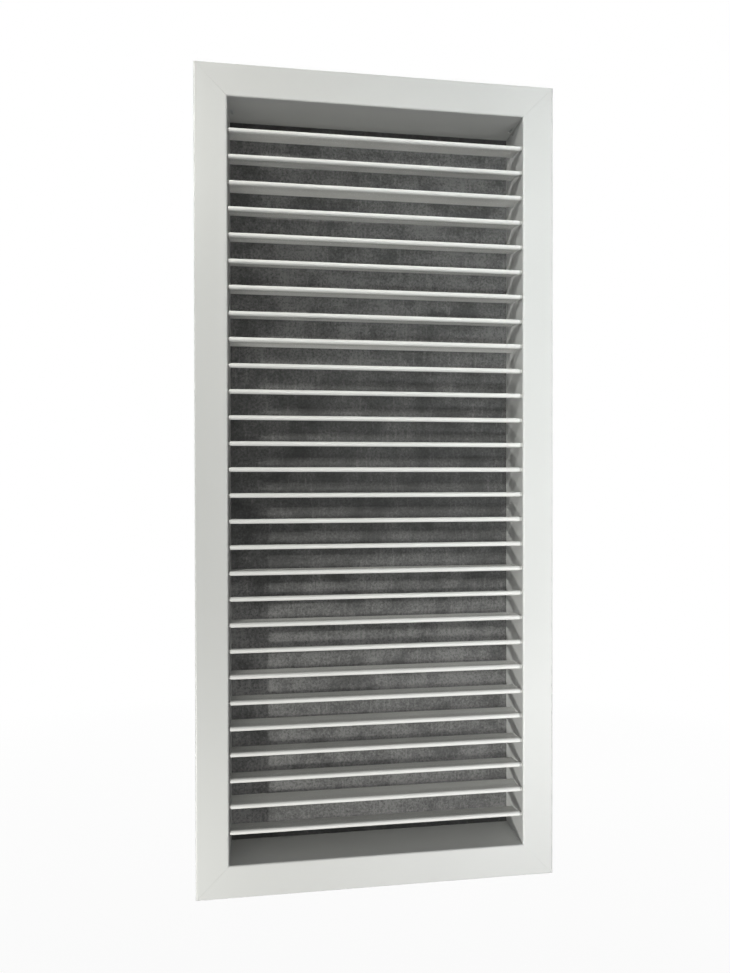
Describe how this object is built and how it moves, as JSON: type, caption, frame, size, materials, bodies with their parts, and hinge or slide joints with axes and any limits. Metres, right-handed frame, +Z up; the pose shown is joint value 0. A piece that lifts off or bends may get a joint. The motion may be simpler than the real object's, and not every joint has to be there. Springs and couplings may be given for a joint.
{
  "type": "louvred air grille",
  "caption": "Tall wall or duct air grille: mitred flanged frame with a deep neck and a stack of horizontal aerofoil blades, each turned by hand.",
  "frame": {"origin": "centre of the opening, in the plane of the wall's face that the flange's back rests on", "axes": "+X to the right seen from the room, +Y into the wall or duct, +Z up"},
  "size_m": [0.356, 0.051, 0.798],
  "materials": {
    "frame_coat": "satin",
    "blade_coat": "satin",
    "key_aluminium": "satin",
    "nylon": "satin",
    "foam": "matte",
    "spring_steel": "satin"
  },
  "bodies": {
    "frame": {"frame_top": "frame_coat", "frame_bottom": "frame_coat", "frame_left": "frame_coat", "frame_right": "frame_coat", "flange_key_top_right": "key_aluminium", "flange_key_top_left": "key_aluminium", "flange_key_bottom_right": "key_aluminium", "flange_key_bottom_left": "key_aluminium", "neck_key_top_right": "key_aluminium", "neck_key_top_left": "key_aluminium", "neck_key_bottom_right": "key_aluminium", "neck_key_bottom_left": "key_aluminium", "bushes_left": "nylon", "bushes_right": "nylon", "foam_seal": "foam", "spring_clip_upper_left": "spring_steel", "spring_clip_upper_right": "spring_steel", "spring_clip_lower_left": "spring_steel", "spring_clip_lower_right": "spring_steel"},
    "blade_01": {"blade_01": "blade_coat"},
    "blade_02": {"blade_02": "blade_coat"},
    "blade_03": {"blade_03": "blade_coat"},
    "blade_04": {"blade_04": "blade_coat"},
    "blade_05": {"blade_05": "blade_coat"},
    "blade_06": {"blade_06": "blade_coat"},
    "blade_07": {"blade_07": "blade_coat"},
    "blade_08": {"blade_08": "blade_coat"},
    "blade_09": {"blade_09": "blade_coat"},
    "blade_10": {"blade_10": "blade_coat"},
    "blade_11": {"blade_11": "blade_coat"},
    "blade_12": {"blade_12": "blade_coat"},
    "blade_13": {"blade_13": "blade_coat"},
    "blade_14": {"blade_14": "blade_coat"},
    "blade_15": {"blade_15": "blade_coat"},
    "blade_16": {"blade_16": "blade_coat"},
    "blade_17": {"blade_17": "blade_coat"},
    "blade_18": {"blade_18": "blade_coat"},
    "blade_19": {"blade_19": "blade_coat"},
    "blade_20": {"blade_20": "blade_coat"},
    "blade_21": {"blade_21": "blade_coat"},
    "blade_22": {"blade_22": "blade_coat"},
    "blade_23": {"blade_23": "blade_coat"},
    "blade_24": {"blade_24": "blade_coat"},
    "blade_25": {"blade_25": "blade_coat"},
    "blade_26": {"blade_26": "blade_coat"},
    "blade_27": {"blade_27": "blade_coat"},
    "blade_28": {"blade_28": "blade_coat"}
  },
  "joints": [
    {"name": "blade_01_tilt", "type": "hinge", "parent": "frame", "child": "blade_01", "pos_m": [0, 0.0008, 0.3375], "axis": [1, 0, 0], "range_deg": [-88, 82]},
    {"name": "blade_02_tilt", "type": "hinge", "parent": "frame", "child": "blade_02", "pos_m": [0, 0.0008, 0.3125], "axis": [1, 0, 0], "range_deg": [-91, 79]},
    {"name": "blade_03_tilt", "type": "hinge", "parent": "frame", "child": "blade_03", "pos_m": [0, 0.0008, 0.2875], "axis": [1, 0, 0], "range_deg": [-83, 87]},
    {"name": "blade_04_tilt", "type": "hinge", "parent": "frame", "child": "blade_04", "pos_m": [0, 0.0008, 0.2625], "axis": [1, 0, 0], "range_deg": [-90, 80]},
    {"name": "blade_05_tilt", "type": "hinge", "parent": "frame", "child": "blade_05", "pos_m": [0, 0.0008, 0.2375], "axis": [1, 0, 0], "range_deg": [-88, 82]},
    {"name": "blade_06_tilt", "type": "hinge", "parent": "frame", "child": "blade_06", "pos_m": [0, 0.0008, 0.2125], "axis": [1, 0, 0], "range_deg": [-91, 79]},
    {"name": "blade_07_tilt", "type": "hinge", "parent": "frame", "child": "blade_07", "pos_m": [0, 0.0008, 0.1875], "axis": [1, 0, 0], "range_deg": [-84, 86]},
    {"name": "blade_08_tilt", "type": "hinge", "parent": "frame", "child": "blade_08", "pos_m": [0, 0.0008, 0.1625], "axis": [1, 0, 0], "range_deg": [-86, 84]},
    {"name": "blade_09_tilt", "type": "hinge", "parent": "frame", "child": "blade_09", "pos_m": [0, 0.0008, 0.1375], "axis": [1, 0, 0], "range_deg": [-79, 91]},
    {"name": "blade_10_tilt", "type": "hinge", "parent": "frame", "child": "blade_10", "pos_m": [0, 0.0008, 0.1125], "axis": [1, 0, 0], "range_deg": [-92, 78]},
    {"name": "blade_11_tilt", "type": "hinge", "parent": "frame", "child": "blade_11", "pos_m": [0, 0.0008, 0.0875], "axis": [1, 0, 0], "range_deg": [-90, 80]},
    {"name": "blade_12_tilt", "type": "hinge", "parent": "frame", "child": "blade_12", "pos_m": [0, 0.0008, 0.0625], "axis": [1, 0, 0], "range_deg": [-88, 82]},
    {"name": "blade_13_tilt", "type": "hinge", "parent": "frame", "child": "blade_13", "pos_m": [0, 0.0008, 0.0375], "axis": [1, 0, 0], "range_deg": [-86, 84]},
    {"name": "blade_14_tilt", "type": "hinge", "parent": "frame", "child": "blade_14", "pos_m": [0, 0.0008, 0.0125], "axis": [1, 0, 0], "range_deg": [-85, 85]},
    {"name": "blade_15_tilt", "type": "hinge", "parent": "frame", "child": "blade_15", "pos_m": [0, 0.0008, -0.0125], "axis": [1, 0, 0], "range_deg": [-85, 85]},
    {"name": "blade_16_tilt", "type": "hinge", "parent": "frame", "child": "blade_16", "pos_m": [0, 0.0008, -0.0375], "axis": [1, 0, 0], "range_deg": [-84, 86]},
    {"name": "blade_17_tilt", "type": "hinge", "parent": "frame", "child": "blade_17", "pos_m": [0, 0.0008, -0.0625], "axis": [1, 0, 0], "range_deg": [-83, 87]},
    {"name": "blade_18_tilt", "type": "hinge", "parent": "frame", "child": "blade_18", "pos_m": [0, 0.0008, -0.0875], "axis": [1, 0, 0], "range_deg": [-87, 83]},
    {"name": "blade_19_tilt", "type": "hinge", "parent": "frame", "child": "blade_19", "pos_m": [0, 0.0008, -0.1125], "axis": [1, 0, 0], "range_deg": [-78, 92]},
    {"name": "blade_20_tilt", "type": "hinge", "parent": "frame", "child": "blade_20", "pos_m": [0, 0.0008, -0.1375], "axis": [1, 0, 0], "range_deg": [-87, 83]},
    {"name": "blade_21_tilt", "type": "hinge", "parent": "frame", "child": "blade_21", "pos_m": [0, 0.0008, -0.1625], "axis": [1, 0, 0], "range_deg": [-76, 94]},
    {"name": "blade_22_tilt", "type": "hinge", "parent": "frame", "child": "blade_22", "pos_m": [0, 0.0008, -0.1875], "axis": [1, 0, 0], "range_deg": [-86, 84]},
    {"name": "blade_23_tilt", "type": "hinge", "parent": "frame", "child": "blade_23", "pos_m": [0, 0.0008, -0.2125], "axis": [1, 0, 0], "range_deg": [-85, 85]},
    {"name": "blade_24_tilt", "type": "hinge", "parent": "frame", "child": "blade_24", "pos_m": [0, 0.0008, -0.2375], "axis": [1, 0, 0], "range_deg": [-89, 81]},
    {"name": "blade_25_tilt", "type": "hinge", "parent": "frame", "child": "blade_25", "pos_m": [0, 0.0008, -0.2625], "axis": [1, 0, 0], "range_deg": [-83, 87]},
    {"name": "blade_26_tilt", "type": "hinge", "parent": "frame", "child": "blade_26", "pos_m": [0, 0.0008, -0.2875], "axis": [1, 0, 0], "range_deg": [-81, 89]},
    {"name": "blade_27_tilt", "type": "hinge", "parent": "frame", "child": "blade_27", "pos_m": [0, 0.0008, -0.3125], "axis": [1, 0, 0], "range_deg": [-88, 82]},
    {"name": "blade_28_tilt", "type": "hinge", "parent": "frame", "child": "blade_28", "pos_m": [0, 0.0008, -0.3375], "axis": [1, 0, 0], "range_deg": [-78, 92]}
  ]
}
